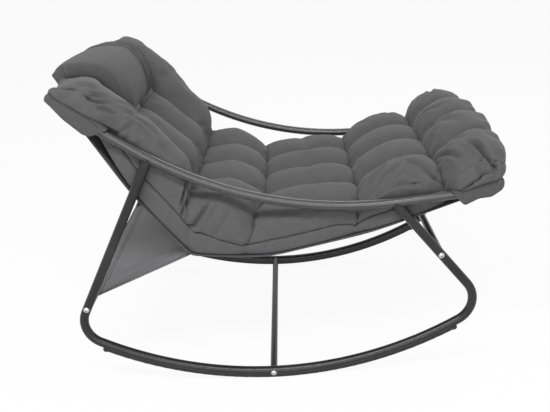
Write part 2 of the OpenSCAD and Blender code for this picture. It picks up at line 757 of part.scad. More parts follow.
right_rail();
left_rail();
right_rocker_tube();
left_rocker_tube();
rail_end_caps();
rear_cross_tube();
front_cross_tube();
bottom_cross_tube();
head_cross_tube();
foot_cross_tube();
cross_tube_inserts();
frame_bolts();
frame_bolt_washers();
end_tube_inserts();
end_tube_bolts();
right_runner_strip();
left_runner_strip();
sling();
rear_pull_sheet();
cushion();
head_pillow();
head_pocket();
foot_pocket();
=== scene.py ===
# A rocking armchair: two bent tube side frames with runners, five cross tubes, a slung seat and
# a sheet that pulls its crease back, and a tufted cushion with a pillow and four hood pockets.
# Lengths are metres where nothing else is said; x runs to the feet, y to the left, z up.
import bpy
import bmesh
import math
import numpy as np
from mathutils import Matrix, Vector


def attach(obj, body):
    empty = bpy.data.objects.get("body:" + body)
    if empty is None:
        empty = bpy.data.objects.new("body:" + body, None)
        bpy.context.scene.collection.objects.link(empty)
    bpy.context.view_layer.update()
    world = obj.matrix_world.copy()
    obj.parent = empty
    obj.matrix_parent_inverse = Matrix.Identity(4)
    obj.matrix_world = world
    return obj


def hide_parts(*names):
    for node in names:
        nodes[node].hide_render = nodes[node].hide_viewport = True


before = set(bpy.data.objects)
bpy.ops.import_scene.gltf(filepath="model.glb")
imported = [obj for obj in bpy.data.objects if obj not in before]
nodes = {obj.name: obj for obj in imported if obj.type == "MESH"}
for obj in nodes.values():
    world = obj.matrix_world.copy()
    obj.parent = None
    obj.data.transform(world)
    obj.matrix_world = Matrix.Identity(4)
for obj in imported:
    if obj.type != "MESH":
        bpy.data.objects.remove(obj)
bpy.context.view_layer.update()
scene = bpy.context.scene

# The viewpoint: a little over two metres off the sitter's right side and a metre above the seat,
# looking down on the chair by about twenty degrees. The roll is the one at which the chair's
# weight stands over the point where its runners touch the floor.
lens_px, image_px, sensor_mm = 730.0, 550.0, 36
yaw, pitch, roll = -0.0074, 0.3626, math.radians(3)
eye = (0.02063, -2.1659, 1.19791)
forward = Vector((math.sin(yaw) * math.cos(pitch), math.cos(yaw) * math.cos(pitch), -math.sin(pitch)))
rightward = Vector((math.cos(yaw), -math.sin(yaw), 0))
turned = Matrix.Rotation(roll, 3, "Y")
forward, rightward = turned @ forward, turned @ rightward
upward = rightward.cross(forward)
view = Matrix((rightward, upward, -forward)).transposed().to_4x4()
view.translation = eye
camera = bpy.data.objects.new("camera", bpy.data.cameras.new("camera"))
camera.data.sensor_width = sensor_mm
camera.data.lens = lens_px / image_px * sensor_mm
camera.matrix_world = view
scene.collection.objects.link(camera)
scene.camera = camera
scene.view_settings.view_transform = "Standard"


# The powder coat of the steel tubes, sprayed on after bending and welding: charcoal with a
# satin skin like fine orange peel, a few pale flecks of dust and rubbed spots. This first finish
# also brings the classes by which all of the chair's finishes are written.
class Field:
    """A value, colour or vector inside a shader. Sums of values become Math nodes."""

    def __init__(self, shading, socket):
        self.shading, self.socket = shading, socket

    def math(self, operation, *values):
        return self.shading.add("Math", {"operation": operation}, dict(enumerate(values)))

    def __add__(self, other):
        return self.math("ADD", self, other)

    def __mul__(self, other):
        return self.math("MULTIPLY", self, other)

    def __rsub__(self, other):
        return self.math("SUBTRACT", other, self)

    __radd__ = __add__
    __rmul__ = __mul__

    def sin(self):
        return self.math("SINE", self)

    def most(self, other):
        return self.math("MAXIMUM", self, other)

    def between(self, low, high):
        """0 at low, 1 at high and a smooth step from one to the other."""
        return self.shading.add("MapRange", {"interpolation_type": "SMOOTHSTEP"},
            {"Value": self, "From Min": low, "From Max": high})


class Shading:
    """A tree of shader nodes, and the one method that adds a node to it."""

    def __init__(self, tree):
        self.tree = tree

    def add(self, kind, settings, inputs, out=0):
        node = self.tree.nodes.new("ShaderNode" + kind)
        for key, value in settings.items():
            setattr(node, key, value)
        for key, value in inputs.items():
            self.feed(node.inputs[key], value)
        return Field(self, node.outputs[out])

    def feed(self, socket, value):
        if isinstance(value, Field):
            self.tree.links.new(value.socket, socket)
        else:
            socket.default_value = value


class Finish(Shading):
    """A material: its Principled shader, and the nodes that vary over the surface."""

    def __init__(self, name, **constants):
        self.material = bpy.data.materials.new(name)
        self.material.use_nodes = True
        super().__init__(self.material.node_tree)
        self.shader = self.tree.nodes["Principled BSDF"]
        self.set(**constants)

    def set(self, **fields):
        for socket, value in fields.items():
            self.feed(self.shader.inputs[socket.replace("_", " ")], value)

    def place(self):
        return self.add("TexCoord", {}, {}, "Object")

    def noise(self, where, scale, detail=2.0, rough=0.5):
        return self.add("TexNoise", {}, {"Vector": where, "Scale": scale, "Detail": detail,
            "Roughness": rough})

    def blend(self, factor, low, high):
        low, high = (c if isinstance(c, Field) else (*c, 1) for c in (low, high))
        return self.add("Mix", {"data_type": "RGBA"}, {"Factor": factor, 6: low, 7: high}, 2)

    def bump(self, height, depth, strength=1.0):
        return self.add("Bump", {}, {"Height": height, "Distance": depth, "Strength": strength})


def tube_finish(name, dark, light, shine):
    coat = Finish(name, IOR=1.5, Specular_IOR_Level=shine)
    place = coat.place()
    broad = coat.noise(place, 9, 3)
    peel = coat.noise(place, 620, 2)
    flecks = coat.noise(place, 240, 4, 0.7).between(0.66, 0.74)
    rubbed = (coat.noise(place, 34, 5, 0.62) * 0.7 + broad * 0.3).between(0.56, 0.68)
    tone = coat.blend(broad.between(0.3, 0.7), dark, light)
    tone = coat.blend(rubbed * 0.2, tone, (0.06, 0.06, 0.062))
    coat.set(Base_Color=coat.blend(flecks * 0.2, tone, (0.12, 0.12, 0.12)),
        Roughness=0.23 + broad * 0.07 + rubbed * 0.08, Normal=coat.bump(peel, 0.0003, 0.4))
    return coat.material


tube_coat = tube_finish("charcoal powder coat", (0.015, 0.015, 0.016), (0.022, 0.022, 0.023), 0.3)
# Painted light: the rails take the tubes' powder coat painted lighter and given more shine.
rail_coat_painted_lighter = tube_finish("charcoal powder coat painted lighter on the rails", (0.028, 0.028, 0.029), (0.036, 0.036, 0.037), 0.6)


def finish_nodes(material, *names):
    """Gives the own meshes of CAD nodes one finish."""
    for name in names:
        mesh = nodes[name].data
        mesh.materials.clear()
        mesh.materials.append(material)


# The side rails: one 25 mm tube on each side, bent to a long curve with a straight run at each
# end. They are the armrests too, and their ends are pushed into the cushion cover's hoods. Their
# coat is the tubes' own, painted lighter for the stronger light on them.
finish_nodes(rail_coat_painted_lighter, "right_rail", "left_rail")

# The rocker tubes: rear leg, runner and front leg of each side are one tube with two tight bends.
# The tops of the legs are cut to the round of the rail and welded on below it.
finish_nodes(tube_coat, "right_rocker_tube", "left_rocker_tube")

# The weld beads round the four leg tops: a row of overlapping ripples where the leg meets the
# rail, coated with the tubes. Each follows the line in which the two round tubes meet.
tube_r = 0.0125
frame_half_gap, frame_toe = 0.375, math.radians(1.55)
rail_centre, rail_r = np.array((0.210, 1.549)), 1.040


def to_side(points, side):
    """Points (x, height, distance inwards) of a side frame's plane, moved to their places."""
    p = np.asarray(points, float).reshape(-1, 3)
    x, y = p[:, 0], p[:, 2]
    placed = np.stack([x * math.cos(frame_toe) - y * math.sin(frame_toe),
        x * math.sin(frame_toe) + y * math.cos(frame_toe) - frame_half_gap, p[:, 1]], 1)
    placed[:, 1] *= -side
    return placed


def faced_outward(mesh):
    """Turns the faces of a closed mesh outwards."""
    work = bmesh.new()
    work.from_mesh(mesh)
    bmesh.ops.recalc_face_normals(work, faces=work.faces)
    work.to_mesh(mesh)
    work.free()


def riding(name, mesh, material):
    """An object that rides on the chair, with the finish it is given."""
    mesh.shade_smooth()
    mesh.materials.append(material)
    piece = bpy.data.objects.new(name, mesh)
    scene.collection.objects.link(piece)
    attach(piece, "root")
    return piece


def new_piece(name, vertices, faces, material, slot):
    """A closed piece from its vertices and faces."""
    mesh = bpy.data.meshes.new(name)
    mesh.from_pydata([tuple(map(float, v)) for v in vertices], [], [tuple(map(int, f)) for f in faces])
    mesh.validate()
    faced_outward(mesh)
    return riding(name, mesh, material)


def tube_along(line, radii, sides=8, closed=False):
    """Vertices and faces of a round tube along a line, its radius given at each point."""
    line = np.asarray(line, float)
    n = len(line)
    if closed:
        along = np.roll(line, -1, 0) - np.roll(line, 1, 0)
    else:
        along = np.gradient(line, axis=0)
    along /= np.linalg.norm(along, axis=1)[:, None]
    least = np.eye(3)[np.argmin(np.abs(along[0]))]
    side = np.cross(along[0], least)
    vertices, faces = [], []
    for i in range(n):
        side = side - along[i] * (side @ along[i])
        side /= np.linalg.norm(side)
        up = np.cross(along[i], side)
        for k in range(sides):
            a = 2 * math.pi * k / sides
            vertices.append(line[i] + radii[i] * (math.cos(a) * side + math.sin(a) * up))
    for i in range(n if closed else n - 1):
        j = (i + 1) % n
        for k in range(sides):
            k2 = (k + 1) % sides
            faces.append((i * sides + k, j * sides + k, j * sides + k2, i * sides + k2))
    if not closed:
        faces.append(tuple(range(sides - 1, -1, -1)))
        faces.append(tuple((n - 1) * sides + k for k in range(sides)))
    return vertices, faces


def merged(parts):
    """One list of vertices and one of faces from several pairs of them."""
    vertices, faces = [], []
    for v, f in parts:
        faces += [tuple(len(vertices) + k for k in face) for face in f]
        vertices += list(v)
    return vertices, faces


weld_points, weld_gap = 120, 0.0006
bead_r, ripple, ripple_count = 0.0021, 0.0005, 26
leg_tops = (((-0.566, 0.2383), 62.9, 0.4845), ((0.487, 0.2625), 128.7, 0.3196))


def weld_line(foot, slope, length, side):
    """Points round a leg where its surface meets the rail's; its axis ends on the rail's own."""
    along = np.array((math.cos(slope), math.sin(slope), 0))
    across = np.array((-along[1], along[0], 0))
    points = []
    for k in range(weld_points):
        a = 2 * math.pi * k / weld_points
        start = np.array((*foot, 0)) + (tube_r + weld_gap) * (math.cos(a) * across
            + math.sin(a) * np.array((0, 0, 1)))
        low, high = 0.0, length
        for _ in range(40):
            t = (low + high) / 2
            p = start + t * along
            off = math.hypot(rail_r - math.hypot(p[0] - rail_centre[0], p[1] - rail_centre[1]), p[2])
            inside = off < tube_r + weld_gap
            low, high = (low, t) if inside else (t, high)
        points.append(start + low * along)
    return to_side(points, side)


ripples = [bead_r + ripple * math.sin(2 * math.pi * k / weld_points * ripple_count)
    for k in range(weld_points)]
weld_parts = [tube_along(weld_line(foot, math.radians(slope), length, side), ripples, 10, True)
    for side in (1, -1) for foot, slope, length in leg_tops]
new_piece("weld_beads", *merged(weld_parts), tube_coat, "frame_paint")

# The cross tubes hold the two sides apart. Three are plain to see between the legs and runners,
# and two lie in the sleeves at the ends of the slung seat; each is 20 mm steel, coated alike.
finish_nodes(tube_coat, "rear_cross_tube", "front_cross_tube", "bottom_cross_tube",
    "head_cross_tube", "foot_cross_tube")


# The bolts, their curved washers and the threaded inserts are bright zinc plated steel, a little
# dull, with fine turning marks and patches of dirt, and with shade painted dark into the sockets.
def plated_steel():
    zinc = Finish("bright zinc plate", Metallic=1.0)
    place = zinc.place()
    marks = zinc.noise(place, 900, 3)
    cloud = zinc.noise(place, 120, 3)
    dirt = cloud.between(0.58, 0.72)
    # Painted shade: the base colour goes nearly black wherever ambient occlusion finds a hollow.
    socket_shade = (1 - zinc.add("AmbientOcclusion", {"samples": 8}, {"Distance": 0.004}, 1)).between(0.25, 0.6)
    tone = zinc.blend(dirt * 0.5, (0.6, 0.6, 0.59), (0.34, 0.33, 0.31))
    zinc.set(Base_Color=zinc.blend(socket_shade, tone, (0.03, 0.03, 0.03)),
        Roughness=0.22 + marks * 0.18 + dirt * 0.15, Normal=zinc.bump(marks, 0.0002, 0.4))
    return zinc.material


finish_nodes(plated_steel(), "cross_tube_inserts", "frame_bolts", "frame_bolt_washers",
    "end_tube_inserts", "end_tube_bolts")


# The rubber strips are glued along the underside of the runners, with a round bead at each end
# that stops them. Black, dull, a little scuffed and dusty where they roll on the floor.
def strip_rubber():
    rubber = Finish("black strip rubber", IOR=1.45)
    place = rubber.place()
    grain = rubber.noise(place, 520, 4, 0.6)
    scuffs = rubber.noise(place, 70, 4, 0.65).between(0.52, 0.7)
    rubber.set(Base_Color=rubber.blend(scuffs * 0.5, (0.014, 0.014, 0.015), (0.045, 0.044, 0.042)),
        Roughness=0.62 + scuffs * 0.2, Normal=rubber.bump(grain, 0.0003, 0.6))
    return rubber.material


finish_nodes(strip_rubber(), "right_runner_strip", "left_runner_strip")


# The rail end plugs are moulded plastic with a low dome, pushed into the open tube ends. The
# hoods of the cover hide them.
def plug_plastic():
    plastic = Finish("black moulded plastic", IOR=1.46)
    grain = plastic.noise(plastic.place(), 1400, 3)
    plastic.set(Base_Color=plastic.blend(grain, (0.02, 0.02, 0.02), (0.03, 0.03, 0.031)),
        Roughness=0.45 + grain * 0.15, Normal=plastic.bump(grain, 0.0001, 0.5))
    return plastic.material


finish_nodes(plug_plastic(), "rail_end_caps")


# The slung seat is one width of coated yarn mesh, dark grey, laced tight between the head and
# foot tubes: each end is a sewn sleeve, and each long edge is turned over twice and sewn down
# with a zigzag. The crease between seat and back is drawn down and back by the pull sheet.
def cloth_finish(name, dark, light, yarn, weave_depth, sheen, mottle=0.5):
    """Yarn laid two ways, each way streaked by its own pale and dark threads, with painted shade
    darkening its creases and hollows.
    """
    cloth = Finish(name, Sheen_Weight=sheen, Sheen_Roughness=0.5, IOR=1.42)
    uv = cloth.add("UVMap", {"uv_map": "yarn"}, {})
    u, v = (cloth.add("SeparateXYZ", {}, {"Vector": uv}, out) for out in ("X", "Y"))
    along = cloth.add("CombineXYZ", {}, {"X": u * (0.55 / yarn), "Y": v * (0.03 / yarn), "Z": 0.0})
    across = cloth.add("CombineXYZ", {}, {"X": u * (0.03 / yarn), "Y": v * (0.55 / yarn), "Z": 7.0})
    warp = cloth.noise(along, 1.0, 2, 0.6)
    weft = cloth.noise(across, 1.0, 2, 0.6)
    over = (u * (math.pi / yarn)).sin() * (v * (math.pi / yarn)).sin()
    cells = over * over
    streak = (warp * 0.5 + weft * 0.5).between(0.36, 0.64)
    cloud = cloth.noise(cloth.place(), 14, 4, 0.6)
    tone = cloth.blend(streak * (1 - 0.3 * mottle) + cloud.between(0.3, 0.7) * 0.3 * mottle, dark, light)
    tone = cloth.blend((1 - cells) * 0.22, tone, tuple(0.6 * c for c in dark))
    # Painted shade: the colour is darkened in creases and hollows, which ambient occlusion finds.
    open_sky = cloth.add("AmbientOcclusion", {"samples": 8}, {"Distance": 0.02}, 1)
    painted_crease_shade = (1 - open_sky).between(0.15, 0.65)
    tone = cloth.blend(painted_crease_shade * 0.6, tone, tuple(0.3 * c for c in dark))
    cloth.set(Base_Color=tone, Roughness=0.78 + 0.14 * cloud,
        Normal=cloth.bump(cells * 0.7 + (warp + weft) * 0.3, weave_depth, 0.55))
    return cloth.material


def unit(v):
    return v / np.linalg.norm(v)


def rounded_line(corners, radii, step=4.0):
    """A line in x and z through corners, each corner between its ends rounded by its radius."""
    corners = [np.array(c, float) for c in corners]
    line = [corners[0]]
    for a, b, c, r in zip(corners, corners[1:], corners[2:], radii):
        u, w = unit(a - b), unit(c - b)
        half = math.acos(float(u @ w)) / 2
        reach = r / math.tan(half)
        middle = b + r / math.sin(half) * unit(u + w)
        p, q = b + reach * u - middle, b + reach * w - middle
        first = math.atan2(p[1], p[0])
        sweep = (math.atan2(q[1], q[0]) - first + math.pi) % (2 * math.pi) - math.pi
        n = math.ceil(abs(math.degrees(sweep)) / step)
        line += [middle + r * np.array((math.cos(first + sweep * i / n), math.sin(first + sweep * i / n)))
            for i in range(n + 1)]
    return np.array(line + [corners[-1]])


def arc_lengths(line):
    return np.concatenate([[0], np.cumsum(np.linalg.norm(np.diff(line, axis=0), axis=1))])


def resampled(line, n):
    """The line again as n + 1 points at equal distances."""
    s = arc_lengths(line)
    t = np.linspace(0, s[-1], n + 1)
    return np.stack([np.interp(t, s, line[:, k]) for k in range(line.shape[1])], 1)


def normals_of(line):
    """Unit normals of a line in x and z, to the left of its direction."""
    along = np.gradient(line, axis=0)
    along /= np.linalg.norm(along, axis=1)[:, None]
    return np.stack([-along[:, 1], along[:, 0]], 1)


def grid_faces(rows, columns, closed):
    """Faces between the neighbouring points of a grid, numbered row by row."""
    return [(i * columns + j, i * columns + (j + 1) % columns,
        (i + 1) * columns + (j + 1) % columns, (i + 1) * columns + j)
        for i in range(rows - 1) for j in range(columns if closed else columns - 1)]


def yarn_across(grid, lengths):
    """Yarn places of a grid of points: y across, and the distance along the cloth."""
    return [[(p[1], s) for p in row] for row, s in zip(grid, lengths)]


def grid_piece(name, points, uv, material, thickness, closed=False, offset=0.0):
    """A sheet over a grid of points [row][column], with its yarn laid by uv in metres."""
    points, uv = np.asarray(points, float), np.asarray(uv, float)
    mesh = bpy.data.meshes.new(name)
    mesh.from_pydata(points.reshape(-1, 3).tolist(), [], grid_faces(*points.shape[:2], closed))
    layer = mesh.uv_layers.new(name="yarn")
    flat = uv.reshape(-1, 2)
    for face in mesh.polygons:
        for loop in face.loop_indices:
            layer.data[loop].uv = flat[mesh.loops[loop].vertex_index]
    piece = riding(name, mesh, material)
    solid = piece.modifiers.new("cloth thickness", "SOLIDIFY")
    solid.thickness, solid.offset = thickness, offset
    return piece


mesh_cloth = cloth_finish("dark yarn mesh", (0.04, 0.04, 0.043), (0.1, 0.1, 0.104), 0.0018,
    0.0005, 0.05)
head_axis, foot_axis = np.array((-0.514, 0.7853)), np.array((0.517, 0.5307))
sling_corners = np.array(((-523.3, 779.2), (-405.4, 574.4), (-264, 385), (-67, 366),
    (231.2, 424.6), (519.8, 519.9))) / 1000
sling_line = resampled(rounded_line(sling_corners, (0.7, 0.04, 0.4, 0.9)), 110)
sleeve_r = 0.0111


def frame_gap_at(x):
    """Distance of a side frame's plane from the middle, at x."""
    return frame_half_gap - x * math.tan(frame_toe)


def turn_of(v):
    return math.degrees(math.atan2(v[1], v[0]))


def sleeve_line(axis, start, end, n):
    """Points of a sleeve round a cross tube, between two angles in degrees."""
    angles = np.radians(np.linspace(start, end, n))
    return axis + sleeve_r * np.stack([np.cos(angles), np.sin(angles)], 1)


def sling_point(p, normal, v, depth=0.0):
    """Place in the seat's width for v from -1 at its right edge to 1 at its left edge."""
    half = frame_gap_at(p[0]) - tube_r - 0.0045
    slack = 0.0012 * math.sin(9 * v + 40 * p[0]) * (1 - v * v)
    return (p[0] + normal[0] * (depth + slack), v * half, p[1] + normal[1] * (depth + slack))


head_turn = turn_of(sling_line[0] - head_axis)
foot_turn = turn_of(sling_line[-1] - foot_axis)
round_head = sleeve_line(head_axis, head_turn - 300, head_turn, 26)
round_foot = sleeve_line(foot_axis, foot_turn, foot_turn - 300, 26)
whole_line = np.concatenate([round_head[:-1], sling_line, round_foot[1:]])
sling_normals = normals_of(whole_line)
sling_s = arc_lengths(whole_line)
widths = np.linspace(-1, 1, 41)
sling_grid = [[sling_point(p, n, v) for v in widths] for p, n in zip(whole_line, sling_normals)]
seat_thick = 0.0011
sling = grid_piece("slung_seat", sling_grid, yarn_across(sling_grid, sling_s), mesh_cloth,
    seat_thick)
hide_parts("sling")
hem_faces, hem_share, hem_under = [], 0.056, -0.0013
for side in (-1, 1):
    rows = [[sling_point(p, n, side * (1 - hem_share * k / 2), hem_under) for k in range(3)]
        for p, n in zip(whole_line[22:-22], sling_normals[22:-22])]
    hem_faces.append(grid_piece("seat_edge_hem_%s" % ("right" if side < 0 else "left"), rows,
        yarn_across(rows, sling_s[22:-22]), mesh_cloth, seat_thick))


# The sewing thread of the seat's edges is a grey bonded thread, a little paler than the cloth, and
# its zigzag is one unbroken line. The sheet and the cover are sewn with a dark thread, each stitch
# a short raised capsule sunk into the cloth at its ends.
def thread_finish():
    thread = Finish("grey sewing thread", Sheen_Weight=0.1, IOR=1.48)
    twist = thread.noise(thread.place(), 1500, 2)
    thread.set(Base_Color=thread.blend(twist, (0.13, 0.13, 0.132), (0.24, 0.24, 0.242)),
        Roughness=0.5 + twist * 0.2, Normal=thread.bump(twist, 0.0002, 0.5))
    return thread.material


thread_grey = thread_finish()


def stitched(line, stitch, gap, thick=0.0006, sides=5):
    """Stitches along a line of points in space: tubes with thin ends, one for each stitch."""
    line = np.asarray(line, float)
    s = arc_lengths(line)
    parts = []
    for k in range(int(s[-1] / (stitch + gap))):
        t = k * (stitch + gap) + stitch * np.array((0, 0.15, 0.5, 0.85, 1))
        p = np.stack([np.interp(t, s, line[:, d]) for d in range(3)], 1)
        parts.append(tube_along(p, thick * np.array((0.35, 0.85, 1, 0.85, 0.35)), sides))
    return parts


def thread_piece(name, parts, slot, finish=None):
    new_piece(name, *merged(parts), finish or thread_grey, slot)


zigzag_parts, zigzag_v, zigzag_half, zigzag_under = [], 0.958, 0.009, -0.0021
fine = resampled(sling_line[2:-2], 300)
for side in (-1, 1):
    zigzag = [sling_point(p, n, side * (zigzag_v + (zigzag_half if k % 2 else -zigzag_half)),
        zigzag_under) for k, (p, n) in enumerate(zip(fine, normals_of(fine)))]
    zigzag_parts.append(tube_along(zigzag, [0.0005] * len(zigzag), 4))
thread_piece("seat_zigzag", zigzag_parts, "sling_weave")

# The pull sheet is a lighter grey mesh from a sleeve on the rear cross tube to a seam below the
# seat's crease. Two rows of stitches hold its turned side edges and its sleeve, and one long
# soft fold runs across its near corner.
sheet_cloth = cloth_finish("light yarn mesh", (0.14, 0.14, 0.145), (0.218, 0.218, 0.223), 0.0014,
    0.0004, 0.08)
rear_axis = np.array((-0.5592, 0.2517))
sheet_low, sheet_high = np.array((-0.5634, 0.2621)), np.array((-0.2618, 0.3855))
sheet_turn = turn_of(sheet_low - rear_axis)
round_rear = sleeve_line(rear_axis, sheet_turn - 330, sheet_turn, 28)
sheet_run = np.linspace(0, 1, 34)[:, None] * (sheet_high - sheet_low) + sheet_low
sheet_line = np.concatenate([round_rear[:-1], sheet_run])
sheet_normals = normals_of(sheet_line)
sheet_s = arc_lengths(sheet_line)
sleeve_s = sheet_s[len(round_rear) - 1]


def sheet_point(s, v, lift=0.0):
    """Place on the pull sheet at distance s along it and v across it, with its sag and fold."""
    p = np.array([np.interp(s, sheet_s, sheet_line[:, k]) for k in range(2)])
    n = np.array([np.interp(s, sheet_s, sheet_normals[:, k]) for k in range(2)])
    half = frame_gap_at(p[0]) - tube_r - 0.0125
    t = (s - sleeve_s) / (sheet_s[-1] - sleeve_s)
    off = 0.0
    if t > 0:
        hold = 4 * t * (1 - t)
        off = -0.004 * hold * (1 - v ** 4)
        ridge = v + 0.84 - 0.1 * t
        off += 0.007 * hold * math.exp(-(ridge / 0.055) ** 2) - 0.006 * hold * math.exp(
            -((ridge - 0.13) / 0.06) ** 2)
        off += 0.0012 * hold * math.sin(14 * v + 3 * t) * (1 - v * v)
    return (p[0] + n[0] * (off + lift), v * half, p[1] + n[1] * (off + lift))


sheet_v = np.linspace(-1, 1, 71)
sheet_grid = [[sheet_point(s, v) for v in sheet_v] for s in sheet_s]
pull_sheet = grid_piece("pull_sheet", sheet_grid, yarn_across(sheet_grid, sheet_s), sheet_cloth,
    0.001)
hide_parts("rear_pull_sheet")
# A near black finish: real dark thread for the sheet's and hoods' stitches, and painted shade as the
# cushion's seam cords.
thread_and_seam_shade = Finish("dark seam thread and painted seam shade", Base_Color=(0.012, 0.012, 0.0125, 1), Roughness=0.9).material
sheet_parts, sheet_stitch = [], (0.005, 0.0022, 0.0009)
for face in (-0.0018, 0.0008):
    for side in (-1, 1):
        for inset in (0.012, 0.04):
            sheet_parts += stitched([sheet_point(s, side * (1 - inset), face)
                for s in np.linspace(sleeve_s, sheet_s[-1] - 0.008, 60)], *sheet_stitch)
    for s in (sleeve_s + 0.03, sleeve_s + 0.04):
        sheet_parts += stitched([sheet_point(s, v, face) for v in np.linspace(-0.985, 0.985, 90)],
            *sheet_stitch)
thread_piece("pull_sheet_stitches", sheet_parts, "sheet_weave", thread_and_seam_shade)

# The hoods are the closed ends of the cushion's cover: a pocket of the cover's own cloth that
# slips over each end of each rail and holds the cushion in place, with a topstitched seam along
# its upper edge. A strip of the same cloth joins each pair of hoods behind the slung seat.
# On the hoods and the head pillow the cover's cloth is painted darker, as painted shade.
cover_cloth = cloth_finish("charcoal cover cloth", (0.065, 0.065, 0.067), (0.093, 0.093, 0.0955),
    0.0008, 0.0002, 0.12)
# Painted shade: the cover's cloth again, darker, for the hoods and the head pillow.
cover_cloth_painted_darker = cloth_finish("charcoal cover cloth painted darker for pockets and pillow", (0.052, 0.052, 0.0535),
    (0.076, 0.076, 0.078), 0.0008, 0.0002, 0.12)
cover_thick = 0.0014


def direction(degrees):
    return np.array((math.cos(math.radians(degrees)), math.sin(math.radians(degrees))))


def left_of(v):
    return np.array((-v[1], v[0]))


def value_at(x, table):
    """The value at x in a table of pairs (place, value)."""
    return np.interp(x, *zip(*table))


rail_rear_dir, rail_front_dir = direction(145.3), direction(4.7)
hood_in, hood_out = -0.0141, 0.0199
hood_rows, hood_around = 26, 40


def hood_grid(axis, along, lower, upper, tip, lean):
    """Points of a hood: loops round the rail, from its open mouth to its closed tip, in mm."""
    up = left_of(along) if along[0] > 0 else -left_of(along)
    grid, uv = [], []
    mouth = lower[0][0]
    for i in range(hood_rows):
        t = i / (hood_rows - 1)
        closing = min(1.0, (1 - t) / 0.1)
        u0 = mouth + (tip - mouth) * (1 - (1 - t) ** 1.25)
        low, high = value_at(u0, lower), value_at(u0, upper)
        middle, half = (low + high) / 2, (high - low) / 2
        shrink = math.sqrt(1 - (1 - closing) ** 2)
        z0, thick = (hood_in + hood_out) * 500, (hood_out - hood_in) * 500
        loop, loop_uv = [], []
        for k in range(hood_around):
            a = 2 * math.pi * k / hood_around
            c, s = math.cos(a), math.sin(a)
            full = 0.55 + 0.1 * (1 - closing)
            v = middle + half * shrink * math.copysign(abs(c) ** full, c)
            z = z0 + thick * (0.35 + 0.65 * shrink) * math.copysign(abs(s) ** full, s)
            u = u0 + lean * (1 - t) * (v - middle) / max(half, 1)
            pucker = 0.9 * math.sin(5 * a + 9 * t + 2 * math.sin(7 * t)) * (0.3 + 0.7 * t) * shrink
            v += pucker * abs(c)
            z += 0.7 * pucker * s
            p = axis * 1000 + u * along + v * up
            loop.append((p[0] / 1000, p[1] / 1000, -z / 1000))
            loop_uv.append((k / hood_around * 0.11, u / 1000))
        grid.append(loop)
        uv.append(loop_uv)
    return grid, uv, up


head_lower = ((-68, -22), (-51, -27), (16, -16.5), (60, -3), (83, 1), (88, 4))
head_upper = ((-68, 17), (-30, 25), (60, 27), (84, 27), (88, 22))
foot_lower = ((-72, -18), (-61, -31), (-20, -16), (15, -16), (45, -1), (56, 14))
foot_upper = ((-72, 13), (56, 35))
hoods, hood_stitches = [], []
for end, axis, along, lower, upper, tip, lean in (
        ("head", head_axis, rail_rear_dir, head_lower, head_upper, 87, -16),
        ("foot", foot_axis, rail_front_dir, foot_lower, foot_upper, 55, -10)):
    for side in (1, -1):
        grid, uv, up = hood_grid(axis, along, lower, upper, tip, lean)
        placed = [to_side(loop, side) for loop in grid]
        hood = grid_piece("%s_hood_%s" % (end, "right" if side > 0 else "left"), placed, uv,
            cover_cloth_painted_darker, cover_thick, closed=True, offset=-1.0)
        work = bmesh.new()
        work.from_mesh(hood.data)
        tip_edges = [e for e in work.edges if e.is_boundary
            and all(v.index >= (hood_rows - 1) * hood_around for v in e.verts)]
        bmesh.ops.contextual_create(work, geom=tip_edges)
        work.to_mesh(hood.data)
        work.free()
        faced_outward(hood.data)
        hood.data.shade_smooth()
        hood.modifiers.new("soft edges", "SUBSURF").render_levels = 1
        hoods.append(hood)
        for rise in (3.2, 6.4):
            row = []
            for u in np.linspace(-60, tip - 14, 60):
                v = value_at(u, upper) - rise
                p = axis * 1000 + u * along + v * up
                row.append((p[0] / 1000, p[1] / 1000, -(hood_out - 0.0006)))
            hood_stitches += stitched(to_side(row, side), 0.0045, 0.0025, 0.0006)
thread_piece("hood_stitches", hood_stitches, "cover_cloth", thread_and_seam_shade)

panels = []
for end, corners, radii in (
        ("head", ((-504.2, 741.7), (-534, 789.2), (-580, 832.3), (-577.6, 842.8)), (8, 6)),
        ("foot", ((480.6, 504.7), (521.2, 515.9), (562.8, 534.5), (571.7, 548.3)), (20, 6))):
    corners = np.array(corners) / 1000
    line = resampled(rounded_line(corners, np.array(radii) / 1000), 26)
    line_normals = normals_of(line)
    s = arc_lengths(line)
    rows = []
    for i, (p, n) in enumerate(zip(line, line_normals)):
        half = frame_gap_at(p[0]) - tube_r - 0.002
        rows.append([(p[0] + n[0] * w, v * half, p[1] + n[1] * w) for v in np.linspace(-1, 1, 61)
            for w in (0.0007 * math.sin(23 * v + 5 * i / 26) * math.sin(math.pi * i / 26),)])
    panel = grid_piece("%s_hood_strip" % end, rows, yarn_across(rows, s), cover_cloth,
        cover_thick)
    panels.append(panel)
for end, (a, b), panel, flat in (("head", hoods[:2], panels[0], (0.11, 0.17)),
        ("foot", hoods[2:], panels[1], (0.115, 0.14))):
    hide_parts(end + "_pocket")


# The cushion is one long tufted pad of fibre: six rows of four bolsters, divided by deep sewn
# channels and bent at the crease. Its ends bulge over the rails, and between the rails its sides
# pull in above a lower band. Lengths along the seat and heights over it are in millimetres here.
row_length = np.array((196, 357, 198, 272, 232, 156), float)
row_crown = np.array((42, 122, 172, 122, 126, 123), float)
row_drop = np.array((14, 26, 8, 52, 56, 60, 14), float)
rib_slope = np.array((84, 41, 87, 87, 91, 97, 79), float)
bed_line = rounded_line(((-576.4, 832.2), (-499.5, 800.9), (-404.4, 575.1), (-263.3, 386.3),
    (-66.9, 367.1), (231, 425.7), (419.8, 488.1), (514.4, 551.9), (566.7, 548.9)),
    (30, 700, 40, 400, 900, 90, 30))
bed_s = arc_lengths(bed_line)
row_start = np.concatenate([[0], np.cumsum(row_length)]) * bed_s[-1] / row_length.sum()
column_drop, edge_drop, back_dish, end_bulge, side_in = 20, 26, 46, 36, 9
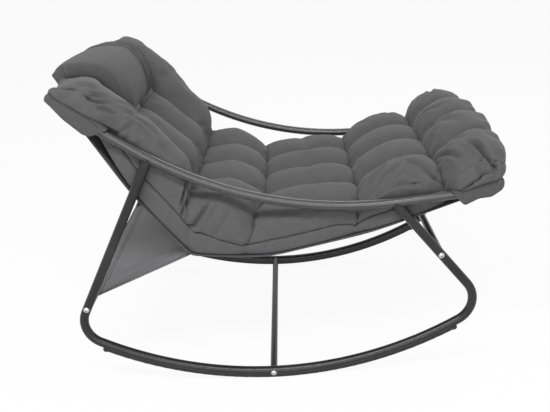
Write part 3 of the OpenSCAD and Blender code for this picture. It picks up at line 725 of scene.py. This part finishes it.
crown_at = (row_start[:-1] + row_start[1:]) / 2
dish_at = ((0, 0.85), (row_start[1] / 2, 0.8), (row_start[1], 1.4),
    ((row_start[1] + row_start[2]) / 2, 0.9), (row_start[2], 0.5), (row_start[3], 0),
    (row_start[5], 0), (bed_s[-1], -0.7))
seam_up = ((0, 28), (300, 46), (487, 62), (562, 72), (642, 52), (745, 27), (816, 42), (1424, 40))
seam_skew = ((350, 0), (600, 12), (758, 50), (900, 30), (1032, 20), (1180, 0))
head_fall = ((0, 0.32), (20, 0.56), (42, 0.8), (60, 0.94), (80, 1))
near_drop = ((1250, 0), (1330, 14), (1424, 6))


def bed(s):
    """Place in x and z on the line that the padding stands on."""
    return np.array([np.interp(s, bed_s, bed_line[:, k]) for k in range(2)])


def rib_dir(s):
    """Direction in which the padding stands on the bed."""
    if row_start[1] < s < row_start[2]:
        a = np.interp((s - row_start[1]) / (row_start[2] - row_start[1]), (0, 0.5, 1),
            (rib_slope[1], 47, rib_slope[2]))
    else:
        a = np.interp(s, row_start, rib_slope)
    return direction(a)


def puff(t, soft=0.55):
    return math.sin(math.pi * min(max(t, 0.0), 1.0)) ** soft


def row_phase(s):
    k = min(int(np.searchsorted(row_start, s + 1e-6, side="right")) - 1, 5)
    return k, (s - row_start[k]) / (row_start[k + 1] - row_start[k])


def smooth(t):
    t = min(max(t, 0.0), 1.0)
    return t * t * (3 - 2 * t)


def top_height(s, v):
    """Height of the tufted top over the bed at s, for v from -1 to 1 across."""
    a = puff(row_phase(s)[1])
    q = (v + 1) * 2
    b = puff(q - math.floor(q))
    seam = column_drop + (edge_drop - column_drop) * smooth((abs(v) - 0.75) * 4)
    drop = np.interp(s, row_start, row_drop)
    if s < (row_start[1] + row_start[2]) / 2:
        drop *= 1 - 0.92 * smooth((abs(v) - 0.42) * 6)
    dish = back_dish * value_at(s, dish_at) * abs(v) ** 2.5
    height = np.interp(s, crown_at, row_crown) - drop * (1 - a) * (1 - 0.3 * b) - seam * (1 - b) + dish
    height -= value_at(s, near_drop) * smooth(-3 * v - 1.3)
    corner = max(0.0, 1 - s / 36) ** 2 * smooth((abs(v) - 0.5) * 2)
    return height * (1 - 0.6 * corner) * (1 - (1 - value_at(s, head_fall)) * (0.5 - 0.45 * v))


def overhang(s):
    """Share of the bulge over the rails: full at both ends but for their corners, none between."""
    corner = min(1.0, s / 30, (bed_s[-1] - s) / 26 + 0.12)
    return math.sqrt(max(0.0, 1 - (1 - corner) ** 2)) * max(
        smooth((row_start[1] * 1.2 - s) / 140), smooth((s - row_start[5] - 2) / 36))


def half_width(s):
    pull = 9 * (1 - puff(row_phase(s)[1])) * (1 - overhang(s)) * smooth(s / 300 - 0.8)
    return 1000 * frame_gap_at(bed(s)[0] / 1000) - 12.5 - 3 - pull


def rail_top(s):
    """Height on the rib at s that clears the rail's hood below the overhang."""
    if s < row_start[1]:
        p = head_axis * 1000 - 25 * left_of(rail_rear_dir)
        n = left_of(rail_rear_dir)
    else:
        up = left_of(rail_front_dir)
        p = foot_axis * 1000 - 82 * rail_front_dir + 12 * up
        n = left_of(unit(138 * rail_front_dir + 24 * up))
    return float((p - bed(s)) @ n) / float(rib_dir(s) @ n)


row_steps, column_steps, n_side = 28, 14, 12
n_top = 4 * column_steps + 1


def closer_at_ends(steps):
    """Shares from 0 to 1 that stand closer together near both ends."""
    return [0.6 * (1 - math.cos(math.pi * i / steps)) / 2 + 0.4 * i / steps for i in range(steps)]


ring_s = [row_start[k] + (row_start[k + 1] - row_start[k]) * f for k in range(6)
    for f in closer_at_ends(row_steps)] + [bed_s[-1]]
tops = np.array([-1 + 0.5 * (c + f) for c in range(4) for f in closer_at_ends(column_steps)] + [1])


def half_section(s):
    """Side points (distance from the middle, height), from the bottom edge up to the top edge."""
    w, o, edge = half_width(s), overhang(s), top_height(s, 1.0)
    seam = min(value_at(s, seam_up), edge * 0.5)
    rise = edge - seam
    plain = [(w - 3, 3), (w - 1, seam * 0.5), (w - 1.5, seam - 6), (w - 3, seam - 2), (w - 8, seam),
        (w - 3, seam + 2), (w - 1, seam + 6), (w, seam + rise * 0.22), (w + 0.5, seam + rise * 0.42),
        (w + 0.5, seam + rise * 0.6), (w - 1, seam + rise * 0.78), (w - 4.5, seam + rise * 0.93)]
    if o <= 0:
        return plain
    low = min(max(rail_top(s), 4), edge - 14)
    out, rise = end_bulge * o, edge - low
    full = [(w - 3, 3), (w - 1, low * 0.5), (w, low - 9), (w, low - 6), (w + out * 0.45, low - 5),
        (w + out * 0.9, low - 4), (w + out, low + 1.5), (w + out * 1.04, low + rise * 0.2),
        (w + out * 1.06, low + rise * 0.4), (w + out * 1.03, low + rise * 0.6),
        (w + out - 2, low + rise * 0.78), (w + out - 7, low + rise * 0.93)]
    m = 1 if s > row_start[3] else smooth(o / 0.3)
    return [(a[0] * (1 - m) + b[0] * m, a[1] * (1 - m) + b[1] * m) for a, b in zip(plain, full)]


def cushion_rings():
    rings = []
    for s in ring_s:
        side = half_section(s)
        top_half = half_width(s) + overhang(s) * end_bulge - side_in
        ring = [(-y, h) for y, h in side]
        ring += [(v * top_half, top_height(s, v)) for v in tops]
        ring += [(y, h) for y, h in reversed(side)]
        ring += [(-v * (half_width(s) - 8), 0.4) for v in tops]
        rings.append(ring)
    return rings


def on_rib(s, y, h):
    p = bed(s) + h * rib_dir(s)
    return (p[0] / 1000, y / 1000, p[1] / 1000)


def padded_mesh(places, dome):
    """Closed mesh over rings of a top, two sides and a bottom, its two ends domed and gridded."""
    n = len(places[0])
    points = [place for ring in places for place in ring]
    faces = grid_faces(len(places), n, True)
    for first, i in ((True, 0), (False, len(places) - 1)):
        base = i * n
        towards = np.array(places[1 if first else -2]) - np.array(places[i])
        away = -unit(towards.mean(0))
        column = []
        for j in range(n_top):
            bottom = base + 2 * n_side + 2 * n_top - 1 - j
            top = base + n_side + j
            if j in (0, n_top - 1):
                sides = range(n_side) if j == 0 else range(2 * n_side + n_top - 1, n_side + n_top - 1, -1)
                column.append([bottom] + [base + k for k in sides] + [top])
                continue
            a, b = np.array(points[bottom]), np.array(points[top])
            strip = [bottom]
            for k in range(n_side):
                t = (k + 1) / (n_side + 1)
                swell = dome * math.sqrt(4 * t * (1 - t)) * puff(2 * (tops[j] + 1) % 1, 0.4) ** 0.5
                points.append(tuple(a + (b - a) * t + away * swell))
                strip.append(len(points) - 1)
            column.append(strip + [top])
        for p, q in zip(column, column[1:]):
            for k in range(n_side + 1):
                quad = (p[k], p[k + 1], q[k + 1], q[k])
                faces.append(quad if first else quad[::-1])
    return points, faces


def inflated(name, points, faces, pinned, cap, swell, pressure):
    """The closed shape blown up as cloth: what is pinned stays, and nothing moves beyond cap."""
    mesh = bpy.data.meshes.new(name + " pattern")
    mesh.from_pydata(points, [], faces)
    pattern = bpy.data.objects.new(name + " pattern", mesh)
    scene.collection.objects.link(pattern)
    faced_outward(mesh)
    group = pattern.vertex_groups.new(name="sewn")
    for i, weight in enumerate(pinned):
        if weight > 0:
            group.add([i], weight, "REPLACE")
    cloth = pattern.modifiers.new("cloth", "CLOTH")
    settings = cloth.settings
    settings.quality = 6
    settings.mass = 0.25
    settings.tension_stiffness = settings.compression_stiffness = 12
    settings.shear_stiffness = 6
    settings.bending_stiffness = 0.35
    settings.use_pressure = True
    settings.uniform_pressure_force = pressure
    settings.shrink_min = -swell
    settings.vertex_group_mass = "sewn"
    settings.pin_stiffness = 1
    settings.effector_weights.gravity = 0
    cloth.collision_settings.use_collision = False
    for f in range(1, 21):
        scene.frame_set(f)
    depsgraph = bpy.context.evaluated_depsgraph_get()
    blown = pattern.evaluated_get(depsgraph).to_mesh()
    after = np.array([v.co[:] for v in blown.vertices])
    before = np.array(points, float)
    move = after - before
    reach = np.linalg.norm(move, axis=1)
    move *= (np.minimum(reach, cap) / np.maximum(reach, 1e-9))[:, None]
    bpy.data.objects.remove(pattern)
    scene.frame_set(1)
    return [tuple(p) for p in before + move]


def seam_puckers(s, v):
    """Small folds that run out from the sewn channels, in mm along the rib."""
    k, phase = row_phase(s)
    to_row = min(phase, 1 - phase) * (row_start[k + 1] - row_start[k])
    q = (v + 1) * 2
    to_column = min(q - math.floor(q), math.ceil(q + 1e-9) - q) * 175
    wave_row = math.sin(v * 61 + 3.1 * math.sin(v * 17 + k) + 2 * k)
    wave_column = math.sin(s / 7.3 + 2.4 * math.sin(s / 31 + 3 * v) + 5 * round(q))
    return (1.3 * math.exp(-(to_row / 20) ** 2) * wave_row * min(1, to_column / 12)
        + 0.8 * math.exp(-(to_column / 16) ** 2) * wave_column * min(1, to_row / 12))


def skewed(s, share):
    """The channels' slant down the sides: full below the side seam, none on the middle columns."""
    return s - value_at(s, seam_skew) * share


rings = cushion_rings()
cushion_n = len(rings[0])
side_share = [1, 1, 1, 1, 1, 1, 0.96, 0.88, 0.8, 0.73, 0.66, 0.6]
top_share = [0.6 * smooth((abs(v) - 0.72) / 0.28) for v in tops]
ring_share = side_share + top_share + side_share[::-1] + [smooth((abs(v) - 0.6) / 0.4) for v in tops]
places = []
for s, ring in zip(ring_s, rings):
    row = []
    for k, (y, h) in enumerate(ring):
        lift = seam_puckers(s, tops[k - n_side]) if n_side <= k < n_side + n_top else 0
        row.append(on_rib(skewed(s, ring_share[k]), y, h + lift))
    places.append(row)
points, faces = padded_mesh(places, 0.009)
under_pillow = row_start[1] + 4
pins = []
for i, s in enumerate(ring_s):
    for k in range(cushion_n):
        if k >= 2 * n_side + n_top or k in (0, 2 * n_side + n_top - 1):
            weight = 1.0
        elif n_side <= k < n_side + n_top:
            j = k - n_side
            weight = 1.0 if i % row_steps == 0 or j % column_steps == 0 else 0.0
            if s < under_pillow and abs(tops[j]) < 0.55:
                weight = 1.0
        else:
            j = min(k, 2 * n_side + n_top - 1 - k)
            weight = (1.0, 0.8, 0.8, 0.9, 1.0, 0.9, 0.5, 0.2, 0.1, 0.1, 0.1, 0.1)[j]
        pins.append(weight)
pins += [0.15] * (len(points) - len(pins))
points = inflated("cushion", points, faces, pins, 0.016, 0.035, 5.0)


rail_bare, rail_slopes = (-0.458, 0.445), (-34.7, 4.7)


def rail_height(x):
    """Height of the side rail's axis at x, and the cosine of its slope there."""
    slope = math.degrees(math.asin((x - rail_centre[0]) / rail_r))
    a = math.radians(max(rail_slopes[0], min(rail_slopes[1], slope)))
    end = rail_centre + rail_r * np.array((math.sin(a), -math.cos(a)))
    return end[1] + (x - end[0]) * math.tan(a), math.cos(a)


def clear_of_rail(p):
    """The padding gives way to the rail between the hoods' mouths."""
    x, y, z = p
    height, lean = rail_height(x)
    above, out = (z - height) * lean, abs(y) - frame_gap_at(x)
    reach = tube_r + 0.0012
    clear = math.hypot(above, out) > reach and (above > 0 or out < -reach)
    if clear or not rail_bare[0] < x < rail_bare[1]:
        return p
    if above > 0:
        out, above = np.array((out, above)) * reach / max(math.hypot(above, out), 1e-6)
        return (x, math.copysign(frame_gap_at(x) + out, y), height + above / lean)
    return (x, math.copysign(frame_gap_at(x) - reach, y), z)


cushion = new_piece("tufted_cushion", [clear_of_rail(p) for p in points], faces, cover_cloth,
    "cover_cloth")
fold_steps, far_share = 24, 0.3


def with_folds(piece, folds, mirrored):
    """Refines the piece, then presses folds (places along and across, width, depth in mm) in it."""
    soft = piece.modifiers.new("soft surface", "SUBSURF")
    soft.levels = soft.render_levels = 1
    depsgraph = bpy.context.evaluated_depsgraph_get()
    fine = bpy.data.meshes.new_from_object(piece.evaluated_get(depsgraph),
        preserve_all_data_layers=True, depsgraph=depsgraph)
    piece.modifiers.clear()
    piece.data = fine
    fine.shade_smooth()
    owner, uv = np.zeros(len(fine.loops), int), np.zeros(2 * len(fine.loops))
    fine.loops.foreach_get("vertex_index", owner)
    fine.uv_layers["yarn"].data.foreach_get("uv", uv)
    uv = uv.reshape(-1, 2)[:, ::-1] * 1000
    order = np.argsort(uv[:, 0], kind="stable")
    at = np.zeros((len(fine.vertices), 2))
    at[owner[order]] = uv[order]
    press = np.zeros(len(at))
    for line, width, depth in folds:
        for flip in (1, -1) if mirrored else (1,):
            path = resampled(np.array(line, float) * (1, flip), fold_steps)
            near = np.linalg.norm(at[:, None, :] - path[None, :, :], axis=2)
            where = near.argmin(1) / (len(path) - 1)
            x = near.min(1) / width
            fade = np.clip(np.minimum(where, 1 - where) * 5 + 0.1, 0, 1) * (1 if flip > 0 else far_share)
            profile = 0.4 * np.exp(-((x - 1.8) / 0.7) ** 2) - np.exp(-1.5 * x ** 1.5)
            press += 1.6 * depth * fade * profile
    co, normal = np.zeros(3 * len(at)), np.zeros(3 * len(at))
    fine.vertices.foreach_get("co", co)
    fine.vertex_normals.foreach_get("vector", normal)
    co = co.reshape(-1, 3) + normal.reshape(-1, 3) * press[:, None] / 1000
    fine.vertices.foreach_set("co", np.array([clear_of_rail(tuple(p)) for p in co]).ravel())
    fine.update()


side_u = [0.36 + 0.11 * k / n_side for k in range(1, n_side + 1)]
top_u = ([-u for u in reversed(side_u)] + [v * 0.36 for v in tops] + side_u
    + [v * 0.36 + 0.83 for v in tops])


def lay_yarn(piece, ring_count, around, us, ss):
    """Yarn directions of a ringed mesh: u round the ring, v along it, and y and z on its ends."""
    layer = piece.data.uv_layers.new(name="yarn")
    for face in piece.data.polygons:
        ks = [v % around if v < ring_count * around else None for v in face.vertices]
        ends = None in ks
        wraps = not ends and 0 in ks and around - 1 in ks
        for loop in face.loop_indices:
            v = piece.data.loops[loop].vertex_index
            co = piece.data.vertices[v].co
            if ends:
                layer.data[loop].uv = (co.y, co.z - 5)
            else:
                k = v % around
                u = us[k] if not (wraps and k == 0) else us[around - 1] + 0.01
                layer.data[loop].uv = (u, ss[v // around])


lay_yarn(cushion, len(ring_s), cushion_n, top_u, [s / 1000 for s in ring_s])
fold_lines = (
    (((470, -340), (492, -368), (502, -398)), 9, 9), (((474, -352), (505, -404)), 9, 3.5),
    (((628, -361), (600, -388), (556, -430)), 7, 9), (((528, -348), (552, -372), (540, -398)), 7, 6),
    (((500, -372), (518, -400), (508, -416)), 7, 5), (((668, -368), (596, -402)), 9, 3),
    (((540, -368), (512, -424)), 9, 3), (((700, -372), (640, -420)), 10, 3),
    (((1034, -345), (1125, -245)), 12, 6), (((1036, -351), (1172, -282)), 10, 6),
    (((1042, -356), (1168, -330)), 10, 5), (((1060, -358), (1130, -352)), 9, 3),
    (((1172, -270), (1212, -317), (1238, -350), (1272, -366)), 9, 10),
    (((1120, -352), (1167, -363), (1200, -380)), 8, 8), (((1130, -190), (1200, -232)), 10, 4),
    (((1342, -270), (1354, -300), (1366, -343), (1378, -367), (1400, -396)), 7, 14),
    (((1262, -240), (1290, -262), (1314, -328)), 8, 7), (((1341, -367), (1366, -400)), 7, 5),
    (((1310, -200), (1340, -240)), 8, 3), (((1290, -421), (1330, -410), (1383, -392)), 5, 4),
    (((84, -366), (108, -362), (142, -346)), 6, 8), (((30, -372), (66, -358)), 6, 6),
    (((96, -352), (132, -330)), 7, 5), (((60, -346), (104, -322)), 8, 4),
    (((120, -380), (168, -368)), 7, 4), (((150, -330), (214, -258)), 8, 3),
    (((160, -350), (250, -330)), 9, 3), (((236, -300), (300, -338), (372, -352)), 10, 3),
    (((560, -300), (610, -340)), 9, 3), (((742, -300), (770, -345)), 9, 3),
    (((1280, 120), (1350, 60)), 12, 4), (((1276, 20), (1330, -70), (1350, -130)), 12, 4))
with_folds(cushion, fold_lines, True)
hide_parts("cushion")

# Dark cords are painted shade along the cushion's seams, for the shadow in the sewn gaps: down in
# the channels between rows and columns, along the side seams above the lower band, and along the
# hem of the foot end.
cushion_points = np.array([v.co[:] for v in cushion.data.vertices])[:len(ring_s) * cushion_n]
cushion_points = cushion_points.reshape(len(ring_s), cushion_n, 3)


def shade_cord(line, steps):
    line = resampled(np.array(line), steps)
    return tube_along(line, [0.0008] * len(line), 5)


cushion_seams = []
for row in range(1, 6):
    inner = column_steps if row == 1 else 0
    cushion_seams.append(cushion_points[row * row_steps, n_side + inner:n_side + n_top - inner])
for row in (3, 4):
    cushion_seams.append(cushion_points[row * row_steps, n_side - 8:n_side] - np.array((0, 0.0004, 0)))
    cushion_seams.append(cushion_points[row * row_steps, n_side + n_top:n_side + n_top + 8]
        + np.array((0, 0.0004, 0)))
for column in (column_steps, 2 * column_steps, 3 * column_steps):
    cushion_seams.append(cushion_points[:, n_side + column])
lines = [shade_cord(line + np.array((0, 0, 0.0002)), 300) for line in cushion_seams]
for side in (-1, 1):
    ks = n_side - 8 if side < 0 else n_side + n_top + 7
    line = cushion_points[row_steps:-row_steps, ks] + np.array((0, side * 0.0004, 0))
    lines.append(shade_cord(line, 400))
    hem = []
    for s, g in zip(*(np.interp(np.linspace(0, 1, 40), (0, 0.3, 0.75, 0.95, 1), c) for c in
            ((1288, 1330, 1383, 1400, 1412), (422, 410, 392, 350, 300)))):
        i = int(np.searchsorted(ring_s, s))
        k = np.interp(g, [abs(u) * 1000 for u in top_u[n_side + n_top - 1:2 * n_side + n_top]],
            range(n_side + n_top - 1, 2 * n_side + n_top))
        k = k if side > 0 else 2 * n_side + n_top - 1 - k
        low, high = (cushion_points[min(i, len(ring_s) - 1), int(math.floor(k)) + d] for d in (0, 1))
        hem.append(low + (high - low) * (k - math.floor(k)) + np.array((0, side * 0.0003, 0)))
    lines.append(shade_cord(hem, 80))
thread_piece("cushion_shade_cords", lines, "cover_cloth", thread_and_seam_shade)

# The head pillow is a loose stuffed pad that lies on the cushion's two middle columns and hangs a
# little over the head end. Its near end has a plain seam; towards the far end the cloth is
# gathered into folds that run round the pad.
pillow_lift, pillow_rows, pillow_columns = 1.2, 36, 65
pillow_near, pillow_far = -0.53, 0.53
pillow_path = resampled(np.array(((-30.0, -48), (-43, -26), (-42, 6), (-28, 38), (2, 65), (40, 85),
    (80, 98), (120, 101), (152, 92), (176, 73), (186, 54))), pillow_rows - 1)
gathers = (0.68, 0.75, 0.82, 0.88, 0.935)


def beside(s, y, h):
    """A place on the rib at s, or past the cushion's head end where s is below 0."""
    p = bed(max(s, 0)) + h * rib_dir(max(s, 0)) + min(s, 0) * unit(bed(5) - bed(0))
    return (p[0] / 1000, y / 1000, p[1] / 1000)


def pillow_place(t, q, full):
    """Place on the pillow's top, or with full = 0 on the cushion below it."""
    v = pillow_near + (pillow_far - pillow_near) * q
    s, h = (np.interp(t * (pillow_rows - 1), range(pillow_rows), pillow_path[:, k]) for k in (0, 1))
    y = v * (half_width(max(s, 0)) + overhang(max(s, 0)) * end_bulge - side_in)
    s += 0.1 * y * (1 - t) + 22 * smooth((0.16 - q) / 0.16) * (-t ** 3)
    ground = top_height(max(s, 0), v) + pillow_lift
    swell = full * puff(0.09 + 0.86 * q, 0.2)
    low_s, low_h = max(s, -2), min(ground, h) if s < 0 else ground
    h = max(h, ground)
    return beside(low_s + (s - low_s) * swell, y, low_h + (h - low_h) * swell)


pillow_rings = []
for i in range(pillow_rows):
    t = i / (pillow_rows - 1)
    top, under = ([pillow_place(t, j / (pillow_columns - 1), full) for j in range(pillow_columns)]
        for full in (1, 0))
    pillow_rings.append(top + under[::-1])
pillow_n = len(pillow_rings[0])
pillow_points = [p for ring in pillow_rings for p in ring]
pillow_faces = grid_faces(pillow_rows, pillow_n, True)
for first, base in ((True, 0), (False, (pillow_rows - 1) * pillow_n)):
    for j in range(pillow_columns - 1):
        quad = (base + j, base + j + 1, base + pillow_n - 2 - j, base + pillow_n - 1 - j)
        pillow_faces.append(quad[::-1] if first else quad)
pillow_pins = []
for i in range(pillow_rows):
    for k in range(pillow_n):
        under = k >= pillow_columns
        rim = i in (0, pillow_rows - 1) or k in (0, pillow_columns - 1)
        pillow_pins.append(1.0 if under else 0.9 if rim else 0.0)
pillow_points = inflated("pillow", pillow_points, pillow_faces, pillow_pins, 0.012, 0.04, 4.0)
# Its cloth is the cover's, painted darker as painted shade.
pillow = new_piece("head_cushion", pillow_points, pillow_faces, cover_cloth_painted_darker, "cover_cloth")
lay_yarn(pillow, pillow_rows, pillow_n, [0.01 * min(k, pillow_n - 1 - k) for k in range(pillow_n)],
    [i * 0.0072 for i in range(pillow_rows)])
pillow_folds = [(((-4, 640 * g - 8), (70, 640 * g + 6), (160, 640 * g + 2), (256, 640 * g - 12)),
    8, 9) for g in gathers]
pillow_folds += [(((150, 470), (230, 400)), 12, 3)]
with_folds(pillow, pillow_folds, False)
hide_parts("head_pillow")

# The floor is a pale seamless sheet that runs on into the distance. To the eye it is nearly
# white, with a faint soft shadow where the runners stand.
floor_mesh = bpy.data.meshes.new("floor")
floor_mesh.from_pydata([(-30, -12, 0), (30, -12, 0), (30, 60, 0), (-30, 60, 0)], [], [(0, 1, 2, 3)])
floor = bpy.data.objects.new("floor", floor_mesh)
scene.collection.objects.link(floor)
paper = Finish("pale floor", Base_Color=(0.9, 0.9, 0.9, 1), Roughness=0.9)


def white_to_the_eye(shading, lit, glow, surface, share):
    """Plain white for the eye and clear reflections, by its share, and a lit shader for the rest."""
    rays = [shading.add("LightPath", {}, {}, "Is %s Ray" % kind)
        for kind in ("Camera", "Glossy", "Transmission")]
    seen = rays[0].most(rays[1]).most(rays[2]) * share
    white = shading.add(glow, {}, {"Color": (1, 1, 1, 1), "Strength": 1.0})
    shading.feed(surface, shading.add("MixShader", {}, {0: seen, 1: Field(shading, lit), 2: white}))


white_to_the_eye(paper, paper.shader.outputs[0], "Emission",
    paper.tree.nodes["Material Output"].inputs["Surface"], 0.93)
floor_mesh.materials.append(paper.material)

# The light is that of a plain studio: an even pale surround, a long soft lamp high on the
# sitter's right, a low one farther off on the same side, and a weaker one high on the left.
world = bpy.data.worlds.new("studio")
scene.world = world
world.use_nodes = True
sky = Shading(world.node_tree)
surround = sky.tree.nodes["Background"]
surround.inputs["Color"].default_value = (1, 1, 1, 1)
surround.inputs["Strength"].default_value = 0.3
white_to_the_eye(sky, surround.outputs[0], "Background",
    sky.tree.nodes["World Output"].inputs["Surface"], 1.0)
lit_place = Vector((0, 0, 0.5))


def soft_lamp(name, place, width, height, power):
    lamp = bpy.data.lights.new(name, "AREA")
    lamp.shape = "RECTANGLE"
    lamp.size, lamp.size_y, lamp.energy = width, height, power
    lamp_object = bpy.data.objects.new(name, lamp)
    lamp_object.location = place
    lamp_object.rotation_euler = (lit_place - Vector(place)).to_track_quat("-Z", "Y").to_euler()
    scene.collection.objects.link(lamp_object)


soft_lamp("main lamp", (-0.7, -2.3, 3.3), 3.2, 0.5, 122)
soft_lamp("front lamp", (0.3, -3.6, 1.2), 3.0, 1.6, 46)
soft_lamp("back lamp", (1.4, 2.4, 2.8), 2.4, 1.2, 26)
